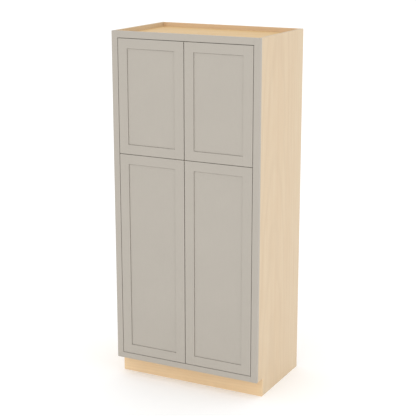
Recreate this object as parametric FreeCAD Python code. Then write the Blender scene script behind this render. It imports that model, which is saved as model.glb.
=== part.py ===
"""Framed pantry cabinet with four flush (inset) doors on concealed hinges.

Lengths are millimetres.  +Z is up, the doors face -Y, and the origin is at floor level under the
middle of the cabinet.  Each function makes one piece, or a group of like pieces, where it sits in
the closed cabinet.  Pieces on the right are mirrors of those on the left.
"""
import FreeCAD
import Part
import math
import os

Vec = FreeCAD.Vector

# ---- overall sizes ----
WIDTH = 952.0
DEPTH = 610.0
HEIGHT = 2134.0

# ---- boards of the box ----
SIDE_T = 19.0
SHELF_T = 19.0
DECK_T = 19.0
TOP_T = 12.7
BACK_T = 6.0
NAILER_T = 19.0
NAILER_H = 90.0
TOE_BOARD_T = 19.0
TOE_HEIGHT = 113.0
TOE_DEPTH = 75.0
TOP_RECESS = 25.4          # top panel's upper face below the rim of the box
DADO_DEPTH = 6.0
DADO_CLEARANCE = 0.1       # on each face of a board in its groove
MIDDLE_NAILER_BELOW = 30.0  # middle nailer's top edge under the fixed shelf's underside
BOTTOM_NAILER_BELOW = 29.0  # bottom nailer's lower edge under the deck's underside

# ---- face frame ----
STILE_W = 39.0
TOP_RAIL_H = 39.0
BOTTOM_RAIL_H = 35.0
FRAME_EASE = 1.0
DOWEL_R = 4.0
DOWEL_L = 40.0
DOWEL_CLEARANCE = 0.05
DOWEL_OFFSET = 9.0         # each dowel of a pair from the rail's middle

# ---- doors ----
DOOR_T = 19.0
STOP_SPACE = 2.0           # between a closed door's back and its stops
SWING_CLEARANCE = 0.6      # least gap to the frame as the door's front corner swings past
CENTRE_GAP = 4.0           # between the left and right doors
SPLIT_GAP = 3.0            # between the upper and lower doors
UPPER_SPACE_H = 686.56     # from the middle of that gap up to the top rail
DOOR_STILE_W = 60.0
DOOR_RAIL_H = 57.0
DOOR_EASE = 1.5
PANEL_T = 6.0
PANEL_RECESS = 4.0
QUIRK_W = 1.5              # narrow groove in the panel's face, just inside the frame
QUIRK_DEPTH = 2.5
GROOVE_DEPTH = 10.0
PANEL_PLAY = 1.0           # panel's edge to the bottom of its groove
GROOVE_CLEARANCE = 0.1

# ---- concealed hinges: u runs in from the door's hinge edge, v back from its front face ----
PIN_U = 17.0
PIN_FROM_BACK = 9.5        # pin's middle in front of the door's back face
PIN_R = 1.5
PIN_CLEARANCE = 0.05
EYE_R = 2.6
ARM_T = 2.5
ARM_W = 14.0
ARM_ANGLE = 25.0           # degrees between the arm's first leg and the closed door
ARM_SWING_CLEARANCE = 2.8  # arm's back leg to the door's corner as it swings in
ARM_FOOT_U = -8.0
ARM_FIRST_LEG = 19.5
PLATE_T = 2.0
PLATE_L = 42.0
PLATE_MARGIN = 1.0         # plate's edges inside the stile's back face
PLATE_SCREW_SPAN = 28.0
CUP_U = 22.5
CUP_R = 17.5
CUP_DEPTH = 13.5
CUP_WALL = 1.5
CUP_FLOOR = 1.0
CUP_CLEARANCE = 0.1
FLANGE_T = 1.2
FLANGE_R = 19.5
FLANGE_L = 60.0
FLANGE_W = 18.0
ARM_SLOT_W = 17.0
CUP_SCREW_SPAN = 48.0
SCREW_R = 1.75
SCREW_L = 11.0
SCREW_HEAD_R = 3.6
SCREW_HEAD_H = 1.8
SCREW_CLEARANCE = 0.05
HINGE_INSET = 95.0         # hinge's middle from the door's end
HINGES_UPPER = 2
HINGES_LOWER = 3

# ---- shelves and stops ----
SHELF_SIDE_PLAY = 1.5
SHELF_FRONT = 60.0         # shelf's front edge behind the cabinet's front face
SHELF_BACK_PLAY = 2.0
STOP_RAIL_CLEARANCE = 3.0  # stop rail to the door's corner as it swings in
STOP_RAIL_H = 60.0
STOP_W = 90.0
STOP_T = 19.0
STOP_H = 24.0
BUMPER_R = 4.5
BUMPER_GAP = 0.3           # bumper's crown to the closed door
BUMPER_INSET = 11.0        # bumper's middle in from the door's top or bottom edge
PEG_R = 2.5
PEG_DEPTH = 9.0
PEG_OUT = 8.0
PEG_CLEARANCE = 0.05
PEG_HOLE_DEPTH = 10.0
PEG_PITCH = 64.0
PEG_FIRST = 150.0          # first row above the panel under it
PEG_LAST = 140.0           # last row at least this far under the panel above it
PEG_ROW_FRONT = 50.0       # behind the shelf's front edge
PEG_ROW_BACK = 70.0        # before the shelf's back edge
SHELVES_LOWER = 3
SHELVES_UPPER = 1

# ---- places worked out from the sizes ----
FRAME_T = DOOR_T + STOP_SPACE
PIN_V = DOOR_T - PIN_FROM_BACK
CORNER_SWING_R = math.hypot(PIN_U, max(PIN_V, PIN_FROM_BACK))
CORNER_REACH = PIN_V + CORNER_SWING_R
DOOR_GAP = math.hypot(PIN_U, PIN_V) - PIN_U + SWING_CLEARANCE  # between a door and the face frame
ARM_BACK_V = CORNER_REACH + ARM_SWING_CLEARANCE + ARM_T / 2
FRONT = -DEPTH / 2
REAR = DEPTH / 2
SIDE_IN = WIDTH / 2 - SIDE_T
FRAME_BACK = FRONT + FRAME_T
OPENING_X = WIDTH / 2 - STILE_W
OPENING_TOP = HEIGHT - TOP_RAIL_H
SPLIT_Z = OPENING_TOP - UPPER_SPACE_H
OPENING_BOTTOM = TOE_HEIGHT + BOTTOM_RAIL_H
TOE_BOARD_Y = (FRONT + TOE_DEPTH, FRONT + TOE_DEPTH + TOE_BOARD_T)
NAILER_FRONT = REAR - NAILER_T
BACK_FRONT = NAILER_FRONT - BACK_T
DECK_TOP = OPENING_BOTTOM
DECK_UNDER = DECK_TOP - DECK_T
TOP_UPPER = HEIGHT - TOP_RECESS
TOP_UNDER = TOP_UPPER - TOP_T
SHELF_UPPER = SPLIT_Z + SHELF_T / 2
SHELF_UNDER = SPLIT_Z - SHELF_T / 2
STOP_RAIL_Y = FRONT + CORNER_REACH + STOP_RAIL_CLEARANCE
STOP_RAIL_BACK = STOP_RAIL_Y + SHELF_T
DOOR_HINGE_X = -OPENING_X + DOOR_GAP
DOOR_FREE_X = -CENTRE_GAP / 2
DOOR_BACK = FRONT + DOOR_T
UPPER_DOOR = (SPLIT_Z + SPLIT_GAP / 2, OPENING_TOP - DOOR_GAP)
LOWER_DOOR = (OPENING_BOTTOM + DOOR_GAP, SPLIT_Z - SPLIT_GAP / 2)
PIN_X = DOOR_HINGE_X + PIN_U
PIN_Y = FRONT + PIN_V
DOORS = (("upper", UPPER_DOOR, HINGES_UPPER), ("lower", LOWER_DOOR, HINGES_LOWER))


def block(x0, x1, y0, y1, z0, z1):
    """A square-edged board between two corners."""
    return Part.makeBox(x1 - x0, y1 - y0, z1 - z0, Vec(x0, y0, z0))


def rod(radius, start, direction, length):
    return Part.makeCylinder(radius, length, start, direction)


def mirrored(shape):
    """The same piece on the cabinet's right side."""
    return shape.mirror(Vec(0, 0, 0), Vec(1, 0, 0))


def edges_at(shape, test):
    """Edges whose middle point passes the test."""
    return [e for e in shape.Edges if test(e.CenterOfMass)]


def near(a, b):
    return abs(a - b) < 0.01


# ---- the box ----
def peg_rows(floor_z, ceiling_z):
    """Heights of the rows of shelf-peg holes between two fixed panels."""
    rows = []
    z = floor_z + PEG_FIRST
    while z <= ceiling_z - PEG_LAST:
        rows.append(z)
        z += PEG_PITCH
    return rows


def shelf_rows(floor_z, ceiling_z, count):
    """Heights of the pegs under each of the loose shelves: the row at or just below each even division."""
    rows = peg_rows(floor_z, ceiling_z)
    even = [floor_z + (ceiling_z - floor_z) * (i + 1) / (count + 1) for i in range(count)]
    return [max([z for z in rows if z <= height] + rows[:1]) for height in even]


LOWER_ROWS = peg_rows(DECK_TOP, SHELF_UNDER)
UPPER_ROWS = peg_rows(SHELF_UPPER, TOP_UNDER)
LOWER_SHELF_ROWS = shelf_rows(DECK_TOP, SHELF_UNDER, SHELVES_LOWER)
UPPER_SHELF_ROWS = shelf_rows(SHELF_UPPER, TOP_UNDER, SHELVES_UPPER)
SHELF_Y = (FRONT + SHELF_FRONT, BACK_FRONT - SHELF_BACK_PLAY)
PEG_Y = (SHELF_Y[0] + PEG_ROW_FRONT, SHELF_Y[1] - PEG_ROW_BACK)


def side_panel():
    """Left side: notch for the toe space and its board, grooves for the fixed panels and the back, and two
    columns of peg holes."""
    outer = -WIDTH / 2
    inner = -SIDE_IN
    panel = block(outer, inner, FRAME_BACK, REAR, 0, HEIGHT)
    cuts = [block(outer - 1, inner + 1, FRAME_BACK - 1, TOE_BOARD_Y[1], -1, TOE_HEIGHT)]
    groove_x = (inner - DADO_DEPTH - DADO_CLEARANCE, inner + 1)
    c = DADO_CLEARANCE
    cuts.append(block(*groove_x, FRAME_BACK - 1, NAILER_FRONT + c, TOP_UNDER - c, TOP_UPPER + c))
    cuts.append(block(*groove_x, FRAME_BACK - 1, BACK_FRONT + c, DECK_UNDER - c, DECK_TOP + c))
    cuts.append(block(*groove_x, STOP_RAIL_BACK - c, BACK_FRONT + c, SHELF_UNDER - c, SHELF_UPPER + c))
    cuts.append(block(*groove_x, BACK_FRONT - c, NAILER_FRONT + c, DECK_UNDER - c, TOP_UNDER + c))
    for z in LOWER_ROWS + UPPER_ROWS:
        for y in PEG_Y:
            start = Vec(inner + 1, y, z)
            cuts.append(rod(PEG_R + PEG_CLEARANCE, start, Vec(-1, 0, 0), PEG_HOLE_DEPTH + 1))
    return panel.cut(cuts)


def housed_panel(y0, y1, z0, z1):
    """A fixed panel whose two ends sit in the sides' grooves."""
    half = SIDE_IN + DADO_DEPTH
    return block(-half, half, y0, y1, z0, z1)


def nailer(z0):
    return block(-SIDE_IN, SIDE_IN, NAILER_FRONT, REAR, z0, z0 + NAILER_H)


def toe_kick_board():
    """Board across the whole front that laps the sides' lower edges and rises between them to the deck."""
    lapped = block(-WIDTH / 2, WIDTH / 2, *TOE_BOARD_Y, 0, TOE_HEIGHT)
    between = block(-SIDE_IN, SIDE_IN, *TOE_BOARD_Y, TOE_HEIGHT, DECK_UNDER)
    return lapped.fuse(between).removeSplitter()


def loose_shelf(peg_z):
    """A shelf resting on pegs whose middles are at peg_z, its front edge eased."""
    under = peg_z + PEG_R
    half = SIDE_IN - SHELF_SIDE_PLAY
    shelf = block(-half, half, *SHELF_Y, under, under + SHELF_T)
    front = edges_at(shelf, lambda p: near(p.y, SHELF_Y[0]) and near(p.x, 0))
    return shelf.makeFillet(FRAME_EASE, front)


def shelf_pegs():
    """Four steel pegs under each loose shelf."""
    pegs = []
    for z in LOWER_SHELF_ROWS + UPPER_SHELF_ROWS:
        for y in PEG_Y:
            peg = rod(PEG_R, Vec(-SIDE_IN - PEG_DEPTH, y, z), Vec(1, 0, 0), PEG_DEPTH + PEG_OUT)
            pegs += [peg, mirrored(peg)]
    return Part.makeCompound(pegs)


# ---- the face frame ----
def rail_ends():
    """Rails as (name, lower edge, upper edge)."""
    return (("top", OPENING_TOP, HEIGHT), ("bottom", TOE_HEIGHT, OPENING_BOTTOM))


def dowel_centres():
    heights = []
    for _, z0, z1 in rail_ends():
        heights += [(z0 + z1) / 2 - DOWEL_OFFSET, (z0 + z1) / 2 + DOWEL_OFFSET]
    return heights


def dowel_holes():
    """Cutters for the dowels across both joints of the left stile."""
    radius = DOWEL_R + DOWEL_CLEARANCE
    length = DOWEL_L + 2 * DOWEL_CLEARANCE
    start_x = -OPENING_X - length / 2
    return [rod(radius, Vec(start_x, FRONT + FRAME_T / 2, z), Vec(1, 0, 0), length) for z in dowel_centres()]


def frame_stile():
    stile = block(-WIDTH / 2, -OPENING_X, FRONT, FRAME_BACK, TOE_HEIGHT, HEIGHT)
    outer = edges_at(stile, lambda p: near(p.x, -WIDTH / 2) and near(p.y, FRONT))
    inner = edges_at(stile, lambda p: near(p.x, -OPENING_X) and near(p.y, FRONT))
    stile = stile.makeFillet(FRAME_EASE, outer + inner)
    screws = [screw_hole(*place) for place in plate_screws()]
    return stile.cut(dowel_holes() + screws)


def frame_rail(z0, z1):
    rail = block(-OPENING_X, OPENING_X, FRONT, FRAME_BACK, z0, z1)
    front = edges_at(rail, lambda p: near(p.x, 0) and near(p.y, FRONT))
    rail = rail.makeFillet(FRAME_EASE, front)
    holes = dowel_holes()
    return rail.cut(holes + [mirrored(h) for h in holes])


def frame_dowels():
    dowels = []
    for z in dowel_centres():
        start = Vec(-OPENING_X - DOWEL_L / 2, FRONT + FRAME_T / 2, z)
        dowel = rod(DOWEL_R, start, Vec(1, 0, 0), DOWEL_L)
        dowels += [dowel, mirrored(dowel)]
    return Part.makeCompound(dowels)


# ---- stops and bumpers ----
def stop_rail():
    half = STOP_RAIL_H / 2
    return block(-SIDE_IN, SIDE_IN, STOP_RAIL_Y, STOP_RAIL_BACK, SPLIT_Z - half, SPLIT_Z + half)


def door_stops():
    """Blocks behind the doors' free corners: under the top, on the middle rail and on the deck."""
    half = STOP_W / 2
    top = block(-half, half, FRAME_BACK, FRAME_BACK + STOP_T, TOP_UNDER - STOP_H, TOP_UNDER)
    middle = block(-half, half, FRAME_BACK, STOP_RAIL_Y, SPLIT_Z - STOP_RAIL_H / 2, SPLIT_Z + STOP_RAIL_H / 2)
    bottom = block(-half, half, FRAME_BACK, FRAME_BACK + STOP_T, DECK_TOP, DECK_TOP + STOP_H)
    return Part.makeCompound([top, middle, bottom])


def door_bumpers():
    """One soft dot on a stop behind each free corner of each door."""
    thick = FRAME_BACK - DOOR_BACK - BUMPER_GAP
    dots = []
    for _, (z0, z1), _ in DOORS:
        for z in (z0 + BUMPER_INSET, z1 - BUMPER_INSET):
            dot = rod(BUMPER_R, Vec(-STOP_W / 4, FRAME_BACK, z), Vec(0, -1, 0), thick)
            crown = edges_at(dot, lambda p: near(p.y, FRAME_BACK - thick))
            dot = dot.makeFillet(thick * 0.4, crown)
            dots += [dot, mirrored(dot)]
    return Part.makeCompound(dots)


# ---- the doors ----
def hinge_heights(z0, z1, count):
    span = z1 - z0 - 2 * HINGE_INSET
    return [z0 + HINGE_INSET + span * i / (count - 1) for i in range(count)]


def groove(x0, x1, z0, z1):
    """Cutter for the panel groove between two corners of the door's face."""
    c = GROOVE_CLEARANCE
    return block(x0, x1, FRONT + PANEL_RECESS - c, FRONT + PANEL_RECESS + PANEL_T + c, z0, z1)


def eased(board, x, z0, z1):
    """The door's outer front edges rounded, at x (or none) and at the ends z0 and z1 (or none)."""
    def outer(p):
        if not near(p.y, FRONT):
            return False
        return (x is not None and near(p.x, x)) or (z0 is not None and near(p.z, z0)) or (
            z1 is not None and near(p.z, z1))
    return board.makeFillet(DOOR_EASE, edges_at(board, outer))


def hinge_stile(z0, z1, count):
    """The stile on the hinge side, bored for its cups and their screws."""
    inner = DOOR_HINGE_X + DOOR_STILE_W
    stile = block(DOOR_HINGE_X, inner, FRONT, DOOR_BACK, z0, z1)
    stile = eased(stile, DOOR_HINGE_X, z0, z1)
    cuts = [groove(inner - GROOVE_DEPTH, inner + 1, z0 - 1, z1 + 1)]
    for z in hinge_heights(z0, z1, count):
        centre = Vec(DOOR_HINGE_X + CUP_U, DOOR_BACK + 1, z)
        cuts.append(rod(CUP_R, centre, Vec(0, -1, 0), CUP_DEPTH + 1))
        cuts += [screw_hole(*place) for place in cup_screws(z)]
    return stile.cut(cuts)


def free_stile(z0, z1):
    inner = DOOR_FREE_X - DOOR_STILE_W
    stile = block(inner, DOOR_FREE_X, FRONT, DOOR_BACK, z0, z1)
    stile = eased(stile, DOOR_FREE_X, z0, z1)
    return stile.cut(groove(inner - 1, inner + GROOVE_DEPTH, z0 - 1, z1 + 1))


def door_rail(z0, z1, is_top):
    """A rail with a stub tenon at each end and the panel groove along its inner edge."""
    x0 = DOOR_HINGE_X + DOOR_STILE_W
    x1 = DOOR_FREE_X - DOOR_STILE_W
    rail = block(x0, x1, FRONT, DOOR_BACK, z0, z1)
    rail = eased(rail, None, None if is_top else z0, z1 if is_top else None)
    tenon_reach = GROOVE_DEPTH - PANEL_PLAY / 2
    tenon_z = (z0 + DOOR_EASE, z1 - DOOR_EASE)
    for a, b in ((x0 - tenon_reach, x0), (x1, x1 + tenon_reach)):
        rail = rail.fuse(block(a, b, FRONT + PANEL_RECESS, FRONT + PANEL_RECESS + PANEL_T, *tenon_z))
    lip = (z0 - 1, z0 + GROOVE_DEPTH) if is_top else (z1 - GROOVE_DEPTH, z1 + 1)
    reach = tenon_reach + 1
    return rail.cut(groove(x0 - reach, x1 + reach, *lip)).removeSplitter()


def door_panel(z0, z1):
    """The flat centre panel, its edges loose in the grooves, with a quirk cut round it inside the frame."""
    reach = GROOVE_DEPTH - PANEL_PLAY
    x0 = DOOR_HINGE_X + DOOR_STILE_W - reach
    x1 = DOOR_FREE_X - DOOR_STILE_W + reach
    low = z0 + DOOR_RAIL_H - reach
    high = z1 - DOOR_RAIL_H + reach
    face = FRONT + PANEL_RECESS
    panel = block(x0, x1, face, face + PANEL_T, low, high)
    outer = block(x0 + reach, x1 - reach, face - 1, face + QUIRK_DEPTH, low + reach, high - reach)
    inner = block(x0 + reach + QUIRK_W, x1 - reach - QUIRK_W, face - 2, face + PANEL_T,
                  low + reach + QUIRK_W, high - reach - QUIRK_W)
    return panel.cut(outer.cut(inner))


# ---- the hinges ----
def hinge_cup(z):
    """Flanged cup in the door stile, slotted towards the hinge edge for the arm, with holes for its pin."""
    u = DOOR_HINGE_X + CUP_U
    outer = CUP_R - CUP_CLEARANCE
    back = Vec(u, DOOR_BACK, z)
    cup = rod(outer, back, Vec(0, -1, 0), CUP_DEPTH - CUP_CLEARANCE)
    half_w = FLANGE_W / 2
    end_z = FLANGE_L / 2 - half_w
    strap = block(u - half_w, u + half_w, DOOR_BACK, DOOR_BACK + FLANGE_T, z - end_z, z + end_z)
    flange = rod(FLANGE_R, back, Vec(0, 1, 0), FLANGE_T).fuse(strap)
    for end in (-end_z, end_z):
        flange = flange.fuse(rod(half_w, Vec(u, DOOR_BACK, z + end), Vec(0, 1, 0), FLANGE_T))
    mouth = DOOR_BACK + FLANGE_T + 1
    floor_y = DOOR_BACK - CUP_DEPTH + CUP_CLEARANCE + CUP_FLOOR
    cuts = [rod(outer - CUP_WALL, Vec(u, mouth, z), Vec(0, -1, 0), mouth - floor_y)]
    half_slot = ARM_SLOT_W / 2
    cuts.append(block(DOOR_HINGE_X + CUP_U - FLANGE_R - 1, u, PIN_Y, mouth, z - half_slot, z + half_slot))
    cuts.append(rod(PIN_R, Vec(PIN_X, PIN_Y, z - CUP_R), Vec(0, 0, 1), 2 * CUP_R))
    cuts += [screw_hole(*place) for place in cup_screws(z)]
    return cup.fuse(flange).cut(cuts).removeSplitter()


def hinge_pin(z):
    """Pin across the cup, ending flush inside its outer wall."""
    offset = PIN_U - CUP_U
    half = math.sqrt((CUP_R - CUP_CLEARANCE) ** 2 - (abs(offset) + PIN_R) ** 2)
    return rod(PIN_R, Vec(PIN_X, PIN_Y, z - half), Vec(0, 0, 1), 2 * half)


def arm_path():
    """The arm's centre line as (u, v) corners, from the eye round the door's edge to the foot."""
    angle = math.radians(ARM_ANGLE)
    turn_u = PIN_U + ARM_FIRST_LEG * math.cos(angle)
    turn_v = PIN_V + ARM_FIRST_LEG * math.sin(angle)
    return [(PIN_U, PIN_V), (turn_u, turn_v), (turn_u, ARM_BACK_V), (ARM_FOOT_U, ARM_BACK_V),
            (ARM_FOOT_U, FRAME_T + PLATE_T / 2)]


def arm_leg(a, b, z):
    """One straight leg of the arm, rounded at both ends so that the legs meet in smooth bends."""
    start = Vec(DOOR_HINGE_X + a[0], FRONT + a[1], z - ARM_W / 2)
    end = Vec(DOOR_HINGE_X + b[0], FRONT + b[1], z - ARM_W / 2)
    along = end - start
    length = along.Length
    leg = Part.makeBox(length, ARM_T, ARM_W, Vec(0, -ARM_T / 2, 0))
    leg.rotate(Vec(0, 0, 0), Vec(0, 0, 1), math.degrees(math.atan2(along.y, along.x)))
    leg.translate(start)
    return leg.fuse(rod(ARM_T / 2, end, Vec(0, 0, 1), ARM_W))


def hinge_arm(z):
    """Goose-neck arm: an eye on the pin, a bend round the door's edge, and a plate on the stile's back."""
    path = arm_path()
    arm = rod(EYE_R, Vec(PIN_X, PIN_Y, z - ARM_W / 2), Vec(0, 0, 1), ARM_W)
    for a, b in zip(path[:-2], path[1:-1]):
        arm = arm.fuse(arm_leg(a, b, z))
    foot_u, foot_v = path[-2]
    foot_x = DOOR_HINGE_X + foot_u
    arm = arm.fuse(block(foot_x - ARM_T / 2, foot_x + ARM_T / 2, FRAME_BACK + PLATE_T / 2, FRONT + foot_v,
                         z - ARM_W / 2, z + ARM_W / 2))
    plate = block(-SIDE_IN + PLATE_MARGIN, -OPENING_X - PLATE_MARGIN, FRAME_BACK, FRAME_BACK + PLATE_T,
                  z - PLATE_L / 2, z + PLATE_L / 2)
    arm = arm.fuse(plate)
    cuts = [rod(PIN_R + PIN_CLEARANCE, Vec(PIN_X, PIN_Y, z - ARM_W), Vec(0, 0, 1), 2 * ARM_W)]
    cuts += [screw_hole(*place) for place in plate_screw_pair(z)]
    return arm.cut(cuts).removeSplitter()


def plate_screw_pair(z):
    """Two screws through one plate into the stile, as (start under the head, direction)."""
    x = (-SIDE_IN - OPENING_X) / 2
    half = PLATE_SCREW_SPAN / 2
    return [(Vec(x, FRAME_BACK + PLATE_T, z + dz), Vec(0, -1, 0)) for dz in (-half, half)]


def plate_screws():
    """All plate screws of the left side."""
    found = []
    for _, (z0, z1), count in DOORS:
        for z in hinge_heights(z0, z1, count):
            found += plate_screw_pair(z)
    return found


def cup_screws(z):
    x = DOOR_HINGE_X + CUP_U
    half = CUP_SCREW_SPAN / 2
    return [(Vec(x, DOOR_BACK + FLANGE_T, z + dz), Vec(0, -1, 0)) for dz in (-half, half)]


def screw(start, direction):
    """Pan-head screw whose head sits on the surface at start."""
    head = rod(SCREW_HEAD_R, start, direction * -1, SCREW_HEAD_H)
    top = edges_at(head, lambda p: near((p - start).Length, SCREW_HEAD_H))
    head = head.makeFillet(SCREW_HEAD_H * 0.6, top)
    tip = SCREW_R * 1.2
    shank = rod(SCREW_R, start, direction, SCREW_L - tip)
    point = Part.makeCone(SCREW_R, 0.3, tip, start + direction * (SCREW_L - tip), direction)
    return head.fuse([shank, point]).removeSplitter()


def screw_hole(start, direction):
    return rod(SCREW_R + SCREW_CLEARANCE, start - direction * 1.0, direction, SCREW_L + 1.5)


# ---- the list of parts ----
def cabinet():
    """Every node's name and shape."""
    parts = {}

    def pair(name, shape):
        parts[name + "_left"] = shape
        parts[name + "_right"] = mirrored(shape)

    pair("side_panel", side_panel())
    parts["top_panel"] = housed_panel(FRAME_BACK, NAILER_FRONT, TOP_UNDER, TOP_UPPER)
    parts["bottom_panel"] = housed_panel(FRAME_BACK, BACK_FRONT, DECK_UNDER, DECK_TOP)
    parts["fixed_shelf"] = housed_panel(STOP_RAIL_BACK, BACK_FRONT, SHELF_UNDER, SHELF_UPPER)
    parts["back_panel"] = housed_panel(BACK_FRONT, NAILER_FRONT, DECK_UNDER, TOP_UNDER)
    parts["top_nailer"] = nailer(HEIGHT - NAILER_H)
    parts["middle_nailer"] = nailer(SHELF_UNDER - MIDDLE_NAILER_BELOW - NAILER_H)
    parts["bottom_nailer"] = nailer(DECK_UNDER - BOTTOM_NAILER_BELOW)
    parts["toe_kick_board"] = toe_kick_board()
    pair("face_frame_stile", frame_stile())
    for name, z0, z1 in rail_ends():
        parts["face_frame_%s_rail" % name] = frame_rail(z0, z1)
    parts["face_frame_dowels"] = frame_dowels()
    parts["door_stop_rail"] = stop_rail()
    parts["door_stops"] = door_stops()
    parts["door_bumpers"] = door_bumpers()
    for name, rows in (("lower", LOWER_SHELF_ROWS), ("upper", UPPER_SHELF_ROWS)):
        for i, z in enumerate(rows):
            parts["%s_shelf_%d" % (name, i + 1)] = loose_shelf(z)
    parts["shelf_pegs"] = shelf_pegs()
    frame_screws = [screw(*place) for place in plate_screws()]
    parts["hinge_plate_screws"] = Part.makeCompound(frame_screws + [mirrored(s) for s in frame_screws])
    for level, (z0, z1), count in DOORS:
        heights = hinge_heights(z0, z1, count)
        arms = [hinge_arm(z) for z in heights]
        parts["%s_hinge_arms" % level] = Part.makeCompound(arms + [mirrored(a) for a in arms])
        pieces = {
            "hinge_stile": hinge_stile(z0, z1, count),
            "free_stile": free_stile(z0, z1),
            "top_rail": door_rail(z1 - DOOR_RAIL_H, z1, True),
            "bottom_rail": door_rail(z0, z0 + DOOR_RAIL_H, False),
            "panel": door_panel(z0, z1),
            "hinge_cups": Part.makeCompound([hinge_cup(z) for z in heights]),
            "hinge_pins": Part.makeCompound([hinge_pin(z) for z in heights]),
            "cup_screws": Part.makeCompound([screw(*p) for z in heights for p in cup_screws(z)]),
        }
        for name, shape in pieces.items():
            parts["%s_left_door_%s" % (level, name)] = shape
            parts["%s_right_door_%s" % (level, name)] = mirrored(shape)
    return parts


def main():
    os.makedirs("parts", exist_ok=True)
    parts = cabinet()
    for name, shape in parts.items():
        if not shape.isValid() or not shape.Solids:
            raise ValueError("%s is not a valid solid" % name)
        shape.exportStep("parts/%s.step" % name)
    print("%d nodes" % len(parts))
    print("pin axis x %.4f y %.4f, door gap %.4f" % (PIN_X, PIN_Y, DOOR_GAP))
    print("rows", LOWER_ROWS[0], UPPER_ROWS[0], "shelf pegs", LOWER_SHELF_ROWS, UPPER_SHELF_ROWS)


main()
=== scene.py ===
import math

import bmesh
import bpy
from mathutils import Matrix, Vector


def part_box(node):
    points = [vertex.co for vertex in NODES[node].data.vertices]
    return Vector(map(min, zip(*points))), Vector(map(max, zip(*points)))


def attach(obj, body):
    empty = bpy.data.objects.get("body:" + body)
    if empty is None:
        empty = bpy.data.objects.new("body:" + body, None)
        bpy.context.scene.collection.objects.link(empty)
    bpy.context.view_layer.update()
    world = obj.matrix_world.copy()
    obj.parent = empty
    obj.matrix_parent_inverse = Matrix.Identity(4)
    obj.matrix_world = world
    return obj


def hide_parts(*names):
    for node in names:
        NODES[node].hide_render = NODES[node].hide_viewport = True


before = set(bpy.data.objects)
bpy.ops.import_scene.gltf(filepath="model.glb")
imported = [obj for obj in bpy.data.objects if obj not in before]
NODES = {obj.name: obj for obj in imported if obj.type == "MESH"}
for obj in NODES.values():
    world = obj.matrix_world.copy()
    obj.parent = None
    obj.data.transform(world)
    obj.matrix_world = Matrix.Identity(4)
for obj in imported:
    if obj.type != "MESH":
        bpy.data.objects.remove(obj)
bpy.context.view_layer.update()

AXES = "XYZ"
LOOSE_SHELVES = ("lower_shelf_1", "lower_shelf_2", "lower_shelf_3", "upper_shelf_1")
DOORS = ("upper_left_door", "upper_right_door", "lower_left_door", "lower_right_door")

# ---- sizes, in metres ----
EASE_RADIUS = 0.0007
EDGE_BAND = 0.0006
BAND_EASE = 0.00025
BOARD_EASE = 0.0003
PEG_R = 0.0025
PEG_CHAMFER = 0.0004
PEG_COLLAR_R = 0.0036
PEG_COLLAR_T = 0.0009
PEG_TIP = 0.0012
PEG_TIP_INSET = 0.0011
SCREW_HEAD_R = 0.0036
SCREW_HEAD_H = 0.0018
SCREW_SHANK_R = 0.00175
SCREW_LENGTH = 0.011
CROSS_ARM = 0.0019
CROSS_HALF_WIDTH = 0.0005
CROSS_DEPTH = 0.0011
FLOOR_HALF_SIZE = 30.0
SAME_POINT = 1e-6

# ---- steps and shares in the pieces made here ----
EASE_STEPS = 3
ROUND_STEPS = 24
CROSS_TAPER = 0.62
# (share of the radius, share of the height or length)
HEAD_PROFILE = ((1.0, 1.0), (1.0, 0.62), (0.93, 0.28), (0.76, 0.06), (0.66, 0.0))
SHANK_PROFILE = ((1.0, 0.8), (0.2, 1.0))

# A colour is linear. A pattern is a noise's scale, detail and roughness, with its distortion if it has any.
# A run is how far a pattern is squeezed along the grain, and a smaller one gives longer streaks. A range is
# the stretch of a noise that is used. A relief is a bump's strength, and its distance in metres.
MIDDLE = (0.3, 0.7)
EDGE_SAMPLES = 4
EDGE_RANGE = (1.0, 0.8)

# ---- paint ----
PAINT = (0.438, 0.402, 0.350)
# The lighter colour blended onto the paint's edges: partly rubbed wear, partly a painted highlight.
PAINT_RUBBED_AND_HIGHLIT = (0.55, 0.52, 0.47)
PAINT_RUN = 0.06
PAINT_FIBRE = (260.0, 5.0, 0.6)
PAINT_CLOUD = (3.5, 3.0, 0.5)
PAINT_SPRAY = (900.0, 2.0, 0.5)
PAINT_WEAR_AND_HIGHLIGHT = (38.0, 4.0, 0.7)
PAINT_SHEEN = (24.0, 4.0, 0.6)
PAINT_CLOUD_SHADE = 0.014
PAINT_FIBRE_SHADE = 0.010
PAINT_WEAR_AND_HIGHLIGHT_RANGE = (0.52, 0.75)
PAINT_WEAR_AND_HIGHLIGHT_AMOUNT = 0.5
PAINT_ROUGHNESS = (0.38, 0.48)
PAINT_SPRAY_HEIGHT = 0.6
PAINT_FIBRE_HEIGHT = 0.8
PAINT_RELIEF = (0.25, 0.00015)
PAINT_GLOSS = 0.45

# ---- maple ----
MAPLE_PALE = (0.683, 0.551, 0.372)
MAPLE_DARK = (0.622, 0.455, 0.280)
MAPLE_TOP_PALE = (0.770, 0.545, 0.270)
MAPLE_TOP_DARK = (0.655, 0.430, 0.192)
# The toe kick's maple is paler than the sides' as painted light, making up for the shade under the face
# frame.
MAPLE_TOE_LIT_PALE = (0.850, 0.635, 0.390)
MAPLE_TOE_LIT_DARK = (0.760, 0.535, 0.300)
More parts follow.
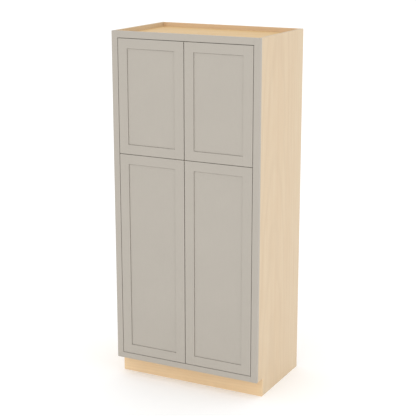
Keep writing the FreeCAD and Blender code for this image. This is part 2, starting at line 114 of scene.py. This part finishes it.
# The planed maple is paler than the veneer as painted light, making up for the shade on the nailers and
# stops.
MAPLE_PLANED_LIT_PALE = (0.775, 0.580, 0.370)
MAPLE_PLANED_LIT_DARK = (0.690, 0.490, 0.300)
BEECH = (0.62, 0.45, 0.28)
WOOD_RUN = 0.035
WOOD_BROAD = (7.0, 3.0, 0.5, 0.6)
WOOD_STREAK = (48.0, 6.0, 0.62, 0.3)
BROAD_RANGE = (0.25, 0.75)
BROAD_AMOUNT = 0.55
STREAK_AMOUNT = 0.35
MOTTLE_RUN = 0.5
WOOD_MOTTLE = (14.0, 3.0, 0.5)
MOTTLE_AMOUNTS = (-0.08, 0.12)
RING_LEAN = 1.3  # degrees
RING_OFFSET = 0.11  # metres
RING_SCALE = 22.0
RING_DISTORTION = 5.0
RING_DETAIL = 2.0
RING_DETAIL_SCALE = 0.08
RING_RANGE = (0.55, 1.0)
RING_AMOUNT = 0.22
RING_DARKER = 0.88
FLECK_RUN = 0.07
WOOD_FLECK = (620.0, 2.0, 0.5)
FLECK_RANGE = (0.66, 0.74)
FLECK_AMOUNT = 0.22
FLECK_DARKER = 0.72
FIBRE_RUN = 0.02
WOOD_FIBRE = (420.0, 4.0, 0.6)
FIBRE_RANGE = (0.35, 0.65)
FIBRE_AMOUNT = 0.16
# Painted shade: the wood made darker along its edges and in its inside corners.
EDGE_SHADE_AMOUNT = 0.18
EDGE_SHADE_DARKER = 0.8
WOOD_ROUGHNESS = (0.40, 0.52)
WOOD_FIBRE_HEIGHT = 0.8
FLECK_HEIGHT = -0.7
WOOD_RELIEF = (0.3, 0.0002)
WOOD_GLOSS = 0.5
TOP_GLOSS = 0.2
VENEER_COAT = 0.25
NO_COAT = 0.0
COAT_ROUGHNESS = 0.3

# ---- plywood edges ----
SHELF_PLIES = 13
SIDE_PLIES = 13
THIN_PLIES = 9
BACK_PLIES = 5
PLY_FACING_RANGE = (0.75, 0.6)
PLY_WANDER = (30.0, 2.0, 0.5)
PLY_WANDER_AMOUNTS = (-0.12, 0.12)
PLY_LAYER_RANGE = (0.45, 0.9)
PLY_LAYER_AMOUNT = 0.55
PLY_LAYER_DARKER = 0.66
PLY_ENDS = (700.0, 3.0, 0.6)
PLY_ENDS_AMOUNT = 0.35
PLY_GLUE = (0.36, 0.22, 0.11)
PLY_GLUE_RANGE = (0.28, 0.05)
PLY_GLUE_AMOUNT = 0.45
PLY_ROUGHER = 0.18
PLY_ENDS_HEIGHT = 1.5

# ---- plated steel ----
NICKEL = (0.62, 0.60, 0.56)
ZINC = (0.60, 0.61, 0.62)
NICKEL_ROUGHNESS = 0.30
ZINC_ROUGHNESS = 0.26
METAL_SMOOTHER = 0.06
METAL_ROUGHER = 0.1
METAL_RUN = 0.04
METAL_LINES = (1500.0, 4.0, 0.6)
METAL_TARNISH = (90.0, 5.0, 0.6)
TARNISH_RANGE = (0.45, 0.75)
TARNISH_AMOUNT = 0.45
TARNISH_DARKER = 0.62
# Painted highlight: the plating made brighter along its edges.
METAL_EDGE_HIGHLIGHT_AMOUNT = 0.5
METAL_EDGE_HIGHLIGHT = 1.25
METAL_RELIEF = (0.15, 0.00005)

# ---- rubber ----
RUBBER_CLEAR = (0.72, 0.72, 0.68)
RUBBER_DUSTY = (0.55, 0.54, 0.50)
RUBBER_DUST = (600.0, 4.0, 0.6)
DUST_RANGE = (0.4, 0.7)
DUST_AMOUNT = 0.5
RUBBER_ROUGHNESS = (0.28, 0.5)
RUBBER_RELIEF = (0.2, 0.00005)
RUBBER_SCATTER = 0.2
RUBBER_SCATTER_DEPTH = (0.002, 0.002, 0.002)

# ---- studio: each softbox's name, place, aim, disc width and watts ----
FLOOR_DARKER = (0.945, 0.945, 0.945)
FLOOR_PALER = (0.955, 0.955, 0.955)
FLOOR_MOTTLE = (2.0, 2.0, 0.5)
FLOOR_ROUGHNESS = 0.9
FLOOR_GLOW = 0.12
WHITE = (1.0, 1.0, 1.0, 1.0)
SKY_STRENGTH = 1.02
LIGHTS = (
    ("side_softbox", (6.0, -1.5, 3.0), (0.4, 0.0, 1.0), 4.0, 23.0),
    ("front_softbox", (-1.0, -6.0, 3.5), (0.0, 0.0, 1.0), 4.0, 26.0),
)

# ---- camera: metres, degrees, and millimetres for its lens and sensor ----
CAMERA_PLACE = (3.0777, -6.0377, 2.8033)
CAMERA_AZIMUTH = 27.018
CAMERA_DIP = 14.475
CAMERA_LENS = 99.40
CAMERA_SENSOR = 36.0


# ---- finishes ----
class Finish:
    """A material being made: its nodes, its shader and the coordinates of the piece it is on."""

    def __init__(self, name):
        self.material = bpy.data.materials.new(name)
        self.material.use_nodes = True
        self.tree = self.material.node_tree
        self.tree.nodes.clear()
        out = self.add("OutputMaterial")
        self.shader = self.add("BsdfPrincipled")
        self.join(self.shader.outputs["BSDF"], out.inputs["Surface"])
        self.where = self.add("TexCoord").outputs["Object"]

    def add(self, kind):
        return self.tree.nodes.new("ShaderNode" + kind)

    def join(self, a, b):
        self.tree.links.new(a, b)

    def feed(self, value, socket):
        """Give a socket what another node puts out, a colour or a number."""
        if hasattr(value, "links"):
            self.join(value, socket)
        elif isinstance(value, tuple):
            socket.default_value = (*value, 1.0)
        else:
            socket.default_value = value

    def stretched(self, grain, run):
        """Coordinates squeezed along the grain, so that patterns run that way."""
        node = self.add("Mapping")
        node.inputs["Scale"].default_value = [run if a == grain else 1.0 for a in AXES]
        self.join(self.where, node.inputs["Vector"])
        return node.outputs["Vector"]

    def noise(self, place, scale, detail, roughness, distortion=0.0):
        node = self.add("TexNoise")
        self.join(place, node.inputs["Vector"])
        for key, value in (("Scale", scale), ("Detail", detail), ("Roughness", roughness),
                           ("Distortion", distortion)):
            node.inputs[key].default_value = value
        return node.outputs["Fac"]

    def spread(self, value, low, high, to_low=0.0, to_high=1.0):
        """Map low to to_low and high to to_high, and go no further than those."""
        node = self.add("MapRange")
        self.join(value, node.inputs["Value"])
        for key, number in (("From Min", low), ("From Max", high), ("To Min", to_low), ("To Max", to_high)):
            node.inputs[key].default_value = number
        return node.outputs["Result"]

    def calculate(self, kind, *values):
        """One step of arithmetic on one or two values, each a number or what another node puts out."""
        node = self.add("Math")
        node.operation = kind
        for value, socket in zip(values, node.inputs):
            self.feed(value, socket)
        return node.outputs["Value"]

    def total(self, a, b):
        return self.calculate("ADD", a, b)

    def product(self, a, b):
        return self.calculate("MULTIPLY", a, b)

    def blend(self, amount, a, b):
        """Colour a where amount is 0, colour b where it is 1, and a mix between."""
        node = self.add("Mix")
        node.data_type = "RGBA"
        for value, socket in ((amount, node.inputs[0]), (a, node.inputs[6]), (b, node.inputs[7])):
            self.feed(value, socket)
        return node.outputs[2]

    def lit(self, colour, light):
        """A colour made lighter or darker by a factor."""
        node = self.add("VectorMath")
        node.operation = "SCALE"
        node.inputs[0].default_value = colour
        self.join(light, node.inputs["Scale"])
        return node.outputs["Vector"]

    def eased_normal(self):
        """Normals rounded over the sharp edges, and a mask that is 1 along those edges."""
        bevel = self.add("Bevel")
        bevel.samples = EDGE_SAMPLES
        bevel.inputs["Radius"].default_value = EASE_RADIUS
        shape = self.add("NewGeometry")
        dot = self.add("VectorMath")
        dot.operation = "DOT_PRODUCT"
        self.join(bevel.outputs["Normal"], dot.inputs[0])
        self.join(shape.outputs["Normal"], dot.inputs[1])
        return bevel.outputs["Normal"], self.spread(dot.outputs["Value"], *EDGE_RANGE)

    def relief(self, height, strength, distance, normal=None):
        node = self.add("Bump")
        node.inputs["Strength"].default_value = strength
        node.inputs["Distance"].default_value = distance
        self.join(height, node.inputs["Height"])
        if normal is not None:
            self.join(normal, node.inputs["Normal"])
        return node.outputs["Normal"]

    def surface(self, colour, roughness, normal):
        """Join what was worked out to the shader."""
        self.join(colour, self.shader.inputs["Base Color"])
        self.join(roughness, self.shader.inputs["Roughness"])
        self.join(normal, self.shader.inputs["Normal"])


def shaded(colour, share):
    """The same colour, darker or brighter, and never over full."""
    return tuple(min(1.0, c * share) for c in colour)


def frame_paint(name, grain):
    """Warm grey satin paint over maple: a faint spray texture, the grain just showing, and edges lightened
    partly as rubbed wear and partly as a painted highlight.
    """
    f = Finish(name)
    fibre = f.noise(f.stretched(grain, PAINT_RUN), *PAINT_FIBRE)
    cloud = f.noise(f.where, *PAINT_CLOUD)
    spray = f.noise(f.where, *PAINT_SPRAY)
    wear_and_highlight_noise = f.noise(f.where, *PAINT_WEAR_AND_HIGHLIGHT)
    sheen = f.noise(f.where, *PAINT_SHEEN)
    normal, edge = f.eased_normal()
    shade = f.total(f.spread(cloud, *MIDDLE, -PAINT_CLOUD_SHADE, PAINT_CLOUD_SHADE),
                    f.spread(fibre, *MIDDLE, -PAINT_FIBRE_SHADE, PAINT_FIBRE_SHADE))
    # Edges lightened towards the rubbed colour: partly wear, partly a painted highlight.
    wear_and_highlight = f.product(edge, f.spread(wear_and_highlight_noise, *PAINT_WEAR_AND_HIGHLIGHT_RANGE, 0.0, PAINT_WEAR_AND_HIGHLIGHT_AMOUNT))
    colour = f.blend(wear_and_highlight, f.lit(PAINT, f.total(shade, 1.0)), PAINT_RUBBED_AND_HIGHLIT)
    height = f.total(f.product(spray, PAINT_SPRAY_HEIGHT), f.product(fibre, PAINT_FIBRE_HEIGHT))
    f.surface(colour, f.spread(sheen, *MIDDLE, *PAINT_ROUGHNESS), f.relief(height, *PAINT_RELIEF, normal))
    f.shader.inputs["Specular IOR Level"].default_value = PAINT_GLOSS
    return f.material


def growth_rings(f, grain):
    """Thin late-wood lines of a log whose axis leans a little from the board, which makes them run in
    long arches."""
    tilt = f.add("Mapping")
    lean = math.radians(RING_LEAN)
    tilt.inputs["Rotation"].default_value = [0.0 if a == grain else lean for a in AXES]
    tilt.inputs["Location"].default_value = [0.0 if a == grain else RING_OFFSET for a in AXES]
    f.join(f.where, tilt.inputs["Vector"])
    wave = f.add("TexWave")
    wave.wave_type = "RINGS"
    wave.rings_direction = grain
    for key, value in (("Scale", RING_SCALE), ("Distortion", RING_DISTORTION), ("Detail", RING_DETAIL),
                       ("Detail Scale", RING_DETAIL_SCALE)):
        wave.inputs[key].default_value = value
    f.join(tilt.outputs["Vector"], wave.inputs["Vector"])
    return f.spread(wave.outputs["Fac"], *RING_RANGE)


def part_along(f, vector, axis):
    """One of a vector's three numbers."""
    node = f.add("SeparateXYZ")
    f.join(vector, node.inputs["Vector"])
    return node.outputs[axis]


def ply_level(f, axis, middle, thickness, count):
    """How many layers up through a board a point lies, wandering a little from flat. The two sides stand
    at the same distance left and right, so they are counted alike."""
    depth = part_along(f, f.where, axis)
    if axis == "X":
        depth = f.calculate("ABSOLUTE", depth)
    level = f.total(f.product(f.calculate("SUBTRACT", depth, middle), count / thickness), count / 2)
    return f.total(level, f.spread(f.noise(f.where, *PLY_WANDER), *MIDDLE, *PLY_WANDER_AMOUNTS))


def ply_edge(f, pale, dark, ends, plies):
    """Plywood's layers and glue lines, and a mask that is 1 on the faces that show them."""
    facing = part_along(f, f.add("NewGeometry").outputs["Normal"], plies[0])
    on_edge = f.spread(f.calculate("ABSOLUTE", facing), *PLY_FACING_RANGE)
    half_turn = f.product(ply_level(f, *plies), math.pi)
    each_layer = f.calculate("SINE", half_turn)
    every_other = f.calculate("SINE", f.product(half_turn, 0.5))
    layer = f.spread(f.calculate("ABSOLUTE", every_other), *PLY_LAYER_RANGE)
    glue = f.spread(f.calculate("ABSOLUTE", each_layer), *PLY_GLUE_RANGE)
    core = f.blend(f.product(layer, PLY_LAYER_AMOUNT), pale, shaded(dark, PLY_LAYER_DARKER))
    core = f.blend(f.spread(ends, *MIDDLE, 0.0, PLY_ENDS_AMOUNT), core, dark)
    return f.blend(f.product(glue, PLY_GLUE_AMOUNT), core, PLY_GLUE), on_edge


def maple(name, grain, pale=MAPLE_PALE, dark=MAPLE_DARK, plies=None, coat=VENEER_COAT, gloss=WOOD_GLOSS):
    """Maple veneer or solid maple with its grain along one axis. plies is (axis, middle, thickness, count)
    for plywood, whose edges show its layers."""
    f = Finish(name)
    run = f.stretched(grain, WOOD_RUN)
    broad = f.noise(run, *WOOD_BROAD)
    streak = f.noise(run, *WOOD_STREAK)
    fibre = f.noise(f.stretched(grain, FIBRE_RUN), *WOOD_FIBRE)
    fleck = f.spread(f.noise(f.stretched(grain, FLECK_RUN), *WOOD_FLECK), *FLECK_RANGE)
    mottle = f.noise(f.stretched(grain, MOTTLE_RUN), *WOOD_MOTTLE)
    normal, edge = f.eased_normal()
    tone = f.total(f.spread(broad, *BROAD_RANGE, 0.0, BROAD_AMOUNT),
                   f.spread(streak, *MIDDLE, 0.0, STREAK_AMOUNT))
    tone = f.total(tone, f.spread(mottle, *MIDDLE, *MOTTLE_AMOUNTS))
    colour = f.blend(tone, pale, dark)
    colour = f.blend(f.product(growth_rings(f, grain), RING_AMOUNT), colour, shaded(dark, RING_DARKER))
    colour = f.blend(f.product(fleck, FLECK_AMOUNT), colour, shaded(dark, FLECK_DARKER))
    colour = f.blend(f.spread(fibre, *FIBRE_RANGE, 0.0, FIBRE_AMOUNT), colour, dark)
    # Painted shade: darker along the edges and in the inside corners.
    colour = f.blend(f.product(edge, EDGE_SHADE_AMOUNT), colour, shaded(dark, EDGE_SHADE_DARKER))
    roughness = f.spread(streak, *MIDDLE, *WOOD_ROUGHNESS)
    height = f.total(f.product(fibre, WOOD_FIBRE_HEIGHT), f.product(fleck, FLECK_HEIGHT))
    if plies:
        ends = f.noise(f.where, *PLY_ENDS)
        core, on_edge = ply_edge(f, pale, dark, ends, plies)
        colour = f.blend(on_edge, colour, core)
        roughness = f.total(roughness, f.product(on_edge, PLY_ROUGHER))
        height = f.total(height, f.product(f.product(ends, on_edge), PLY_ENDS_HEIGHT))
    f.surface(colour, roughness, f.relief(height, *WOOD_RELIEF, normal))
    f.shader.inputs["Coat Weight"].default_value = coat
    f.shader.inputs["Specular IOR Level"].default_value = gloss
    f.shader.inputs["Coat Roughness"].default_value = COAT_ROUGHNESS
    return f.material


def plated(name, colour, rough, brush):
    """Plated steel with fine drawn lines, a little tarnish and a painted highlight along its edges."""
    f = Finish(name)
    lines = f.noise(f.stretched(brush, METAL_RUN), *METAL_LINES)
    tarnish = f.spread(f.noise(f.where, *METAL_TARNISH), *TARNISH_RANGE, 0.0, TARNISH_AMOUNT)
    normal, edge = f.eased_normal()
    base = f.blend(tarnish, colour, shaded(colour, TARNISH_DARKER))
    # Painted highlight along the edges.
    base = f.blend(f.product(edge, METAL_EDGE_HIGHLIGHT_AMOUNT), base, shaded(colour, METAL_EDGE_HIGHLIGHT))
    roughness = f.spread(lines, *MIDDLE, rough - METAL_SMOOTHER, rough + METAL_ROUGHER)
    f.surface(base, roughness, f.relief(lines, *METAL_RELIEF, normal))
    f.shader.inputs["Metallic"].default_value = 1.0
    return f.material


def soft_rubber(name):
    """Milky clear polyurethane with a dusty skin."""
    f = Finish(name)
    dust = f.noise(f.where, *RUBBER_DUST)
    colour = f.blend(f.spread(dust, *DUST_RANGE, 0.0, DUST_AMOUNT), RUBBER_CLEAR, RUBBER_DUSTY)
    f.surface(colour, f.spread(dust, *MIDDLE, *RUBBER_ROUGHNESS), f.relief(dust, *RUBBER_RELIEF))
    f.shader.inputs["Subsurface Weight"].default_value = RUBBER_SCATTER
    f.shader.inputs["Subsurface Radius"].default_value = RUBBER_SCATTER_DEPTH
    return f.material


def floor_white(name):
    """A pale matt floor with a little glow of its own."""
    f = Finish(name)
    colour = f.blend(f.noise(f.where, *FLOOR_MOTTLE), FLOOR_DARKER, FLOOR_PALER)
    f.join(colour, f.shader.inputs["Base Color"])
    f.shader.inputs["Roughness"].default_value = FLOOR_ROUGHNESS
    f.shader.inputs["Emission Color"].default_value = WHITE
    f.shader.inputs["Emission Strength"].default_value = FLOOR_GLOW
    return f.material


# ---- which node has which finish ----
def plies_of(node, axis, count):
    """Where a board's layers lie: (axis, middle, thickness, count)."""
    low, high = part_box(node)
    i = AXES.index(axis)
    middle = (low[i] + high[i]) / 2
    return (axis, abs(middle) if axis == "X" else middle, high[i] - low[i], count)


def give(node, material):
    NODES[node].material_slots[0].material = material


def finish_boards():
    side = maple("side_maple", "Z", plies=plies_of("side_panel_left", "X", SIDE_PLIES))
    for name in ("side_panel_left", "side_panel_right"):
        give(name, side)
    give("top_panel", maple("top_maple", "X", MAPLE_TOP_PALE, MAPLE_TOP_DARK,
                            plies_of("top_panel", "Z", THIN_PLIES), NO_COAT, TOP_GLOSS))
    for name in ("bottom_panel", "fixed_shelf", *LOOSE_SHELVES):
        give(name, maple(name + "_maple", "X", plies=plies_of(name, "Z", SHELF_PLIES)))
    give("back_panel", maple("back_maple", "Z", plies=plies_of("back_panel", "Y", BACK_PLIES)))
    # Toe kick in maple lightened as painted light, against the shade it stands in.
    give("toe_kick_board", maple("toe_maple_lit", "X", MAPLE_TOE_LIT_PALE, MAPLE_TOE_LIT_DARK,
                                 plies_of("toe_kick_board", "Y", SIDE_PLIES)))
    # Nailers and stops in maple lightened as painted light, against the shade they sit in.
    solid = maple("planed_maple_lit", "X", MAPLE_PLANED_LIT_PALE, MAPLE_PLANED_LIT_DARK, coat=NO_COAT)
    for name in ("top_nailer", "middle_nailer", "bottom_nailer", "door_stop_rail", "door_stops"):
        give(name, solid)
    give("face_frame_dowels", maple("dowel_beech", "X", BEECH, BEECH, coat=NO_COAT))


def finish_painted_parts():
    upright = frame_paint("upright_paint", "Z")
    level = frame_paint("level_paint", "X")
    for name in NODES:
        if "face_frame_stile" in name or name.endswith(("_hinge_stile", "_free_stile", "_door_panel")):
            give(name, upright)
        elif name.endswith("_rail") and name != "door_stop_rail":
            give(name, level)


def finish_hardware():
    nickel = plated("satin_nickel", NICKEL, NICKEL_ROUGHNESS, "Z")
    zinc = plated("bright_zinc", ZINC, ZINC_ROUGHNESS, "X")
    for name in NODES:
        if name.endswith(("hinge_cups", "hinge_arms")):
            give(name, nickel)
        elif name.endswith(("hinge_pins", "shelf_pegs", "screws")):
            give(name, zinc)
    give("door_bumpers", soft_rubber("bumper_rubber"))


# ---- pieces made here in more detail ----
def piece(name, body, slot, materials, bm, *stands_for):
    """Turn a finished bmesh into an object that rides on a body."""
    mesh = bpy.data.meshes.new(name)
    bm.to_mesh(mesh)
    bm.free()
    for material in materials:
        mesh.materials.append(material)
    obj = bpy.data.objects.new(name, mesh)
    bpy.context.scene.collection.objects.link(obj)
    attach(obj, body)
    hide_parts(*stands_for)


def walk(start):
    """Every vertex joined to this one."""
    found, waiting = {start}, [start]
    while waiting:
        for edge in waiting.pop().link_edges:
            for v in edge.verts:
                if v not in found:
                    found.add(v)
                    waiting.append(v)
    return found


def solids_of(node):
    """The (low, high) boxes of a CAD node's separate solids."""
    bm = bmesh.new()
    bm.from_mesh(NODES[node].data)
    bmesh.ops.remove_doubles(bm, verts=bm.verts, dist=SAME_POINT)
    boxes = []
    waiting = set(bm.verts)
    while waiting:
        solid = walk(next(iter(waiting)))
        waiting -= solid
        low = Vector(min(v.co[i] for v in solid) for i in range(3))
        high = Vector(max(v.co[i] for v in solid) for i in range(3))
        boxes.append((low, high))
    bm.free()
    return sorted(boxes, key=lambda b: tuple(round(c, 5) for c in b[0]))


def board(bm, low, high, ease, material):
    """A board between two corners with its edges eased."""
    low, high = Vector(low), Vector(high)
    made = bmesh.ops.create_cube(bm, size=1.0)["verts"]
    bmesh.ops.scale(bm, vec=high - low, verts=made)
    bmesh.ops.translate(bm, vec=(low + high) / 2, verts=made)
    edges = list({e for v in made for e in v.link_edges})
    before = set(bm.faces) - {f for v in made for f in v.link_faces}
    bmesh.ops.bevel(bm, geom=edges, offset=ease, affect="EDGES", segments=EASE_STEPS, profile=0.5,
                    material=-1)
    for face in bm.faces:
        if face not in before:
            face.material_index = material


def banded_shelf(node, wood, band_wood):
    """A plywood shelf with a thin maple band glued on its front edge."""
    low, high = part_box(node)
    bm = bmesh.new()
    board(bm, (low.x, low.y + EDGE_BAND, low.z), high, BOARD_EASE, 0)
    board(bm, low, (high.x, low.y + EDGE_BAND, high.z), BAND_EASE, 1)
    piece(node + "_banded", "carcass", "shelf_veneer", [wood, band_wood], bm, node)


def put(bm, verts, place, turn):
    """Turn a finished shape, set it in place and point its faces outwards."""
    bmesh.ops.transform(bm, matrix=Matrix.Translation(place) @ turn.to_4x4(), verts=verts)
    bmesh.ops.recalc_face_normals(bm, faces=list({f for v in verts for f in v.link_faces}))


def turned(bm, profile, place, turn):
    """A profile of (radius, height) points spun round +Z, then turned and set in place."""
    made = [bm.verts.new((radius, 0.0, height)) for radius, height in profile]
    edges = [bm.edges.new(pair) for pair in zip(made, made[1:])]
    spun = bmesh.ops.spin(bm, geom=made + edges, cent=(0, 0, 0), axis=(0, 0, 1), angle=2 * math.pi,
                          steps=ROUND_STEPS, use_merge=True)
    verts = list({v for e in spun["geom_last"] if isinstance(e, bmesh.types.BMVert) for v in walk(e)})
    bmesh.ops.remove_doubles(bm, verts=verts, dist=SAME_POINT)
    put(bm, [v for v in verts if v.is_valid], place, turn)


def shelf_pegs(metal):
    """Steel pegs with a thin collar against the side and a rounded tip under the shelf."""
    bm = bmesh.new()
    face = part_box("side_panel_left")[1].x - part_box("shelf_pegs")[0].x
    for low, high in solids_of("shelf_pegs"):
        inward = 1.0 if low.x < 0 else -1.0
        middle = (low + high) / 2
        start = low.x if inward > 0 else high.x
        length = high.x - low.x
        profile = [(0, 0), (PEG_R - PEG_CHAMFER, 0), (PEG_R, PEG_CHAMFER), (PEG_R, face),
                   (PEG_COLLAR_R, face), (PEG_COLLAR_R, face + PEG_COLLAR_T), (PEG_R, face + PEG_COLLAR_T),
                   (PEG_R, length - PEG_TIP), (PEG_R - PEG_CHAMFER, length - PEG_CHAMFER),
                   (PEG_R - PEG_TIP_INSET, length), (0, length)]
        turn = Vector((0, 0, 1)).rotation_difference(Vector((inward, 0, 0))).to_matrix()
        turned(bm, profile, Vector((start, middle.y, middle.z)), turn)
    piece("shelf_pegs_collared", "carcass", "peg_steel", [metal], bm, "shelf_pegs")


def new_verts(made):
    return [v for v in made if isinstance(v, bmesh.types.BMVert)]


def ring_to(bm, ring, radius, height):
    """Extrude a closed ring of edges round +Z to another radius and height; the new ring's edges."""
    grown = bmesh.ops.extrude_edge_only(bm, edges=ring)["geom"]
    fresh = set(new_verts(grown))
    for v in fresh:
        flat = Vector((v.co.x, v.co.y)).normalized() * radius
        v.co = (flat.x, flat.y, height)
    return [e for e in grown if isinstance(e, bmesh.types.BMEdge) and set(e.verts) <= fresh]


def cross_outline(bm):
    """The edges of a cross, drawn level with the top of a screw's head."""
    outline = []
    for quarter in range(4):
        turn = Matrix.Rotation(quarter * math.pi / 2, 3, "Z")
        for x, y in ((CROSS_ARM, -CROSS_HALF_WIDTH), (CROSS_ARM, CROSS_HALF_WIDTH),
                     (CROSS_HALF_WIDTH, CROSS_HALF_WIDTH)):
            outline.append(bm.verts.new(turn @ Vector((x, y, 0))))
    return [bm.edges.new((a, b)) for a, b in zip(outline, outline[1:] + outline[:1])]


def screw(bm, middle, top):
    """A pan head with a cross recess, and a plain tapered shank, driven along -Y."""
    first = set(bm.verts)
    base = -SCREW_HEAD_H
    made = bmesh.ops.create_circle(bm, segments=ROUND_STEPS, radius=SCREW_SHANK_R)["verts"]
    bmesh.ops.translate(bm, vec=(0, 0, base), verts=made)
    shank = list({e for v in made for e in v.link_edges})
    ring = shank
    for wide, high in HEAD_PROFILE:
        ring = ring_to(bm, ring, SCREW_HEAD_R * wide, base * high)
    for wide, deep in SHANK_PROFILE:
        shank = ring_to(bm, shank, SCREW_SHANK_R * wide, base - SCREW_LENGTH * deep)
    bmesh.ops.holes_fill(bm, edges=shank, sides=0)
    cross = cross_outline(bm)
    bmesh.ops.bridge_loops(bm, edges=ring + cross)
    sunk = bmesh.ops.extrude_edge_only(bm, edges=cross)["geom"]
    down = new_verts(sunk)
    bmesh.ops.scale(bm, vec=(CROSS_TAPER, CROSS_TAPER, 1), verts=down)
    bmesh.ops.translate(bm, vec=(0, 0, -CROSS_DEPTH), verts=down)
    bmesh.ops.holes_fill(bm, edges=[e for e in sunk if isinstance(e, bmesh.types.BMEdge)], sides=0)
    put(bm, [v for v in bm.verts if v not in first], (middle.x, top, middle.z),
        Matrix.Rotation(-math.pi / 2, 3, "X"))


def cross_screws(node, body, metal):
    bm = bmesh.new()
    for low, high in solids_of(node):
        screw(bm, (low + high) / 2, high.y)
    piece(node + "_crossed", body, "screw_steel", [metal], bm, node)


def detail_pieces():
    zinc = bpy.data.materials["bright_zinc"]
    band = maple("edge_band_maple", "X")
    for name in LOOSE_SHELVES:
        banded_shelf(name, bpy.data.materials[name + "_maple"], band)
    shelf_pegs(zinc)
    cross_screws("hinge_plate_screws", "carcass", zinc)
    for door in DOORS:
        cross_screws(door + "_cup_screws", door, zinc)


# ---- floor, light and camera ----
def lay_floor():
    mesh = bpy.data.meshes.new("floor")
    bm = bmesh.new()
    bmesh.ops.create_grid(bm, x_segments=1, y_segments=1, size=FLOOR_HALF_SIZE)
    bm.to_mesh(mesh)
    bm.free()
    mesh.materials.append(floor_white("floor_white"))
    floor = bpy.data.objects.new("floor", mesh)
    bpy.context.scene.collection.objects.link(floor)


def aim(thing, place, ahead):
    """Put a lamp or the camera in the scene, facing along a direction."""
    thing.location = place
    thing.rotation_mode = "QUATERNION"
    thing.rotation_quaternion = ahead.to_track_quat("-Z", "Y")
    bpy.context.scene.collection.objects.link(thing)


def studio_light():
    world = bpy.data.worlds.new("studio")
    bpy.context.scene.world = world
    world.use_nodes = True
    sky = world.node_tree.nodes["Background"]
    sky.inputs["Color"].default_value = WHITE
    sky.inputs["Strength"].default_value = SKY_STRENGTH
    for name, place, target, width, watts in LIGHTS:
        light = bpy.data.lights.new(name, "AREA")
        light.shape = "DISK"
        light.size = width
        light.energy = watts
        aim(bpy.data.objects.new(name, light), place, Vector(target) - Vector(place))


def camera():
    turn, dip = math.radians(CAMERA_AZIMUTH), math.radians(CAMERA_DIP)
    ahead = Vector((-math.sin(turn) * math.cos(dip), math.cos(turn) * math.cos(dip), -math.sin(dip)))
    data = bpy.data.cameras.new("camera")
    data.lens = CAMERA_LENS
    data.sensor_width = CAMERA_SENSOR
    cam = bpy.data.objects.new("camera", data)
    aim(cam, CAMERA_PLACE, ahead)
    bpy.context.scene.camera = cam
    bpy.context.scene.view_settings.view_transform = "Standard"


finish_boards()
finish_painted_parts()
finish_hardware()
detail_pieces()
lay_floor()
studio_light()
camera()
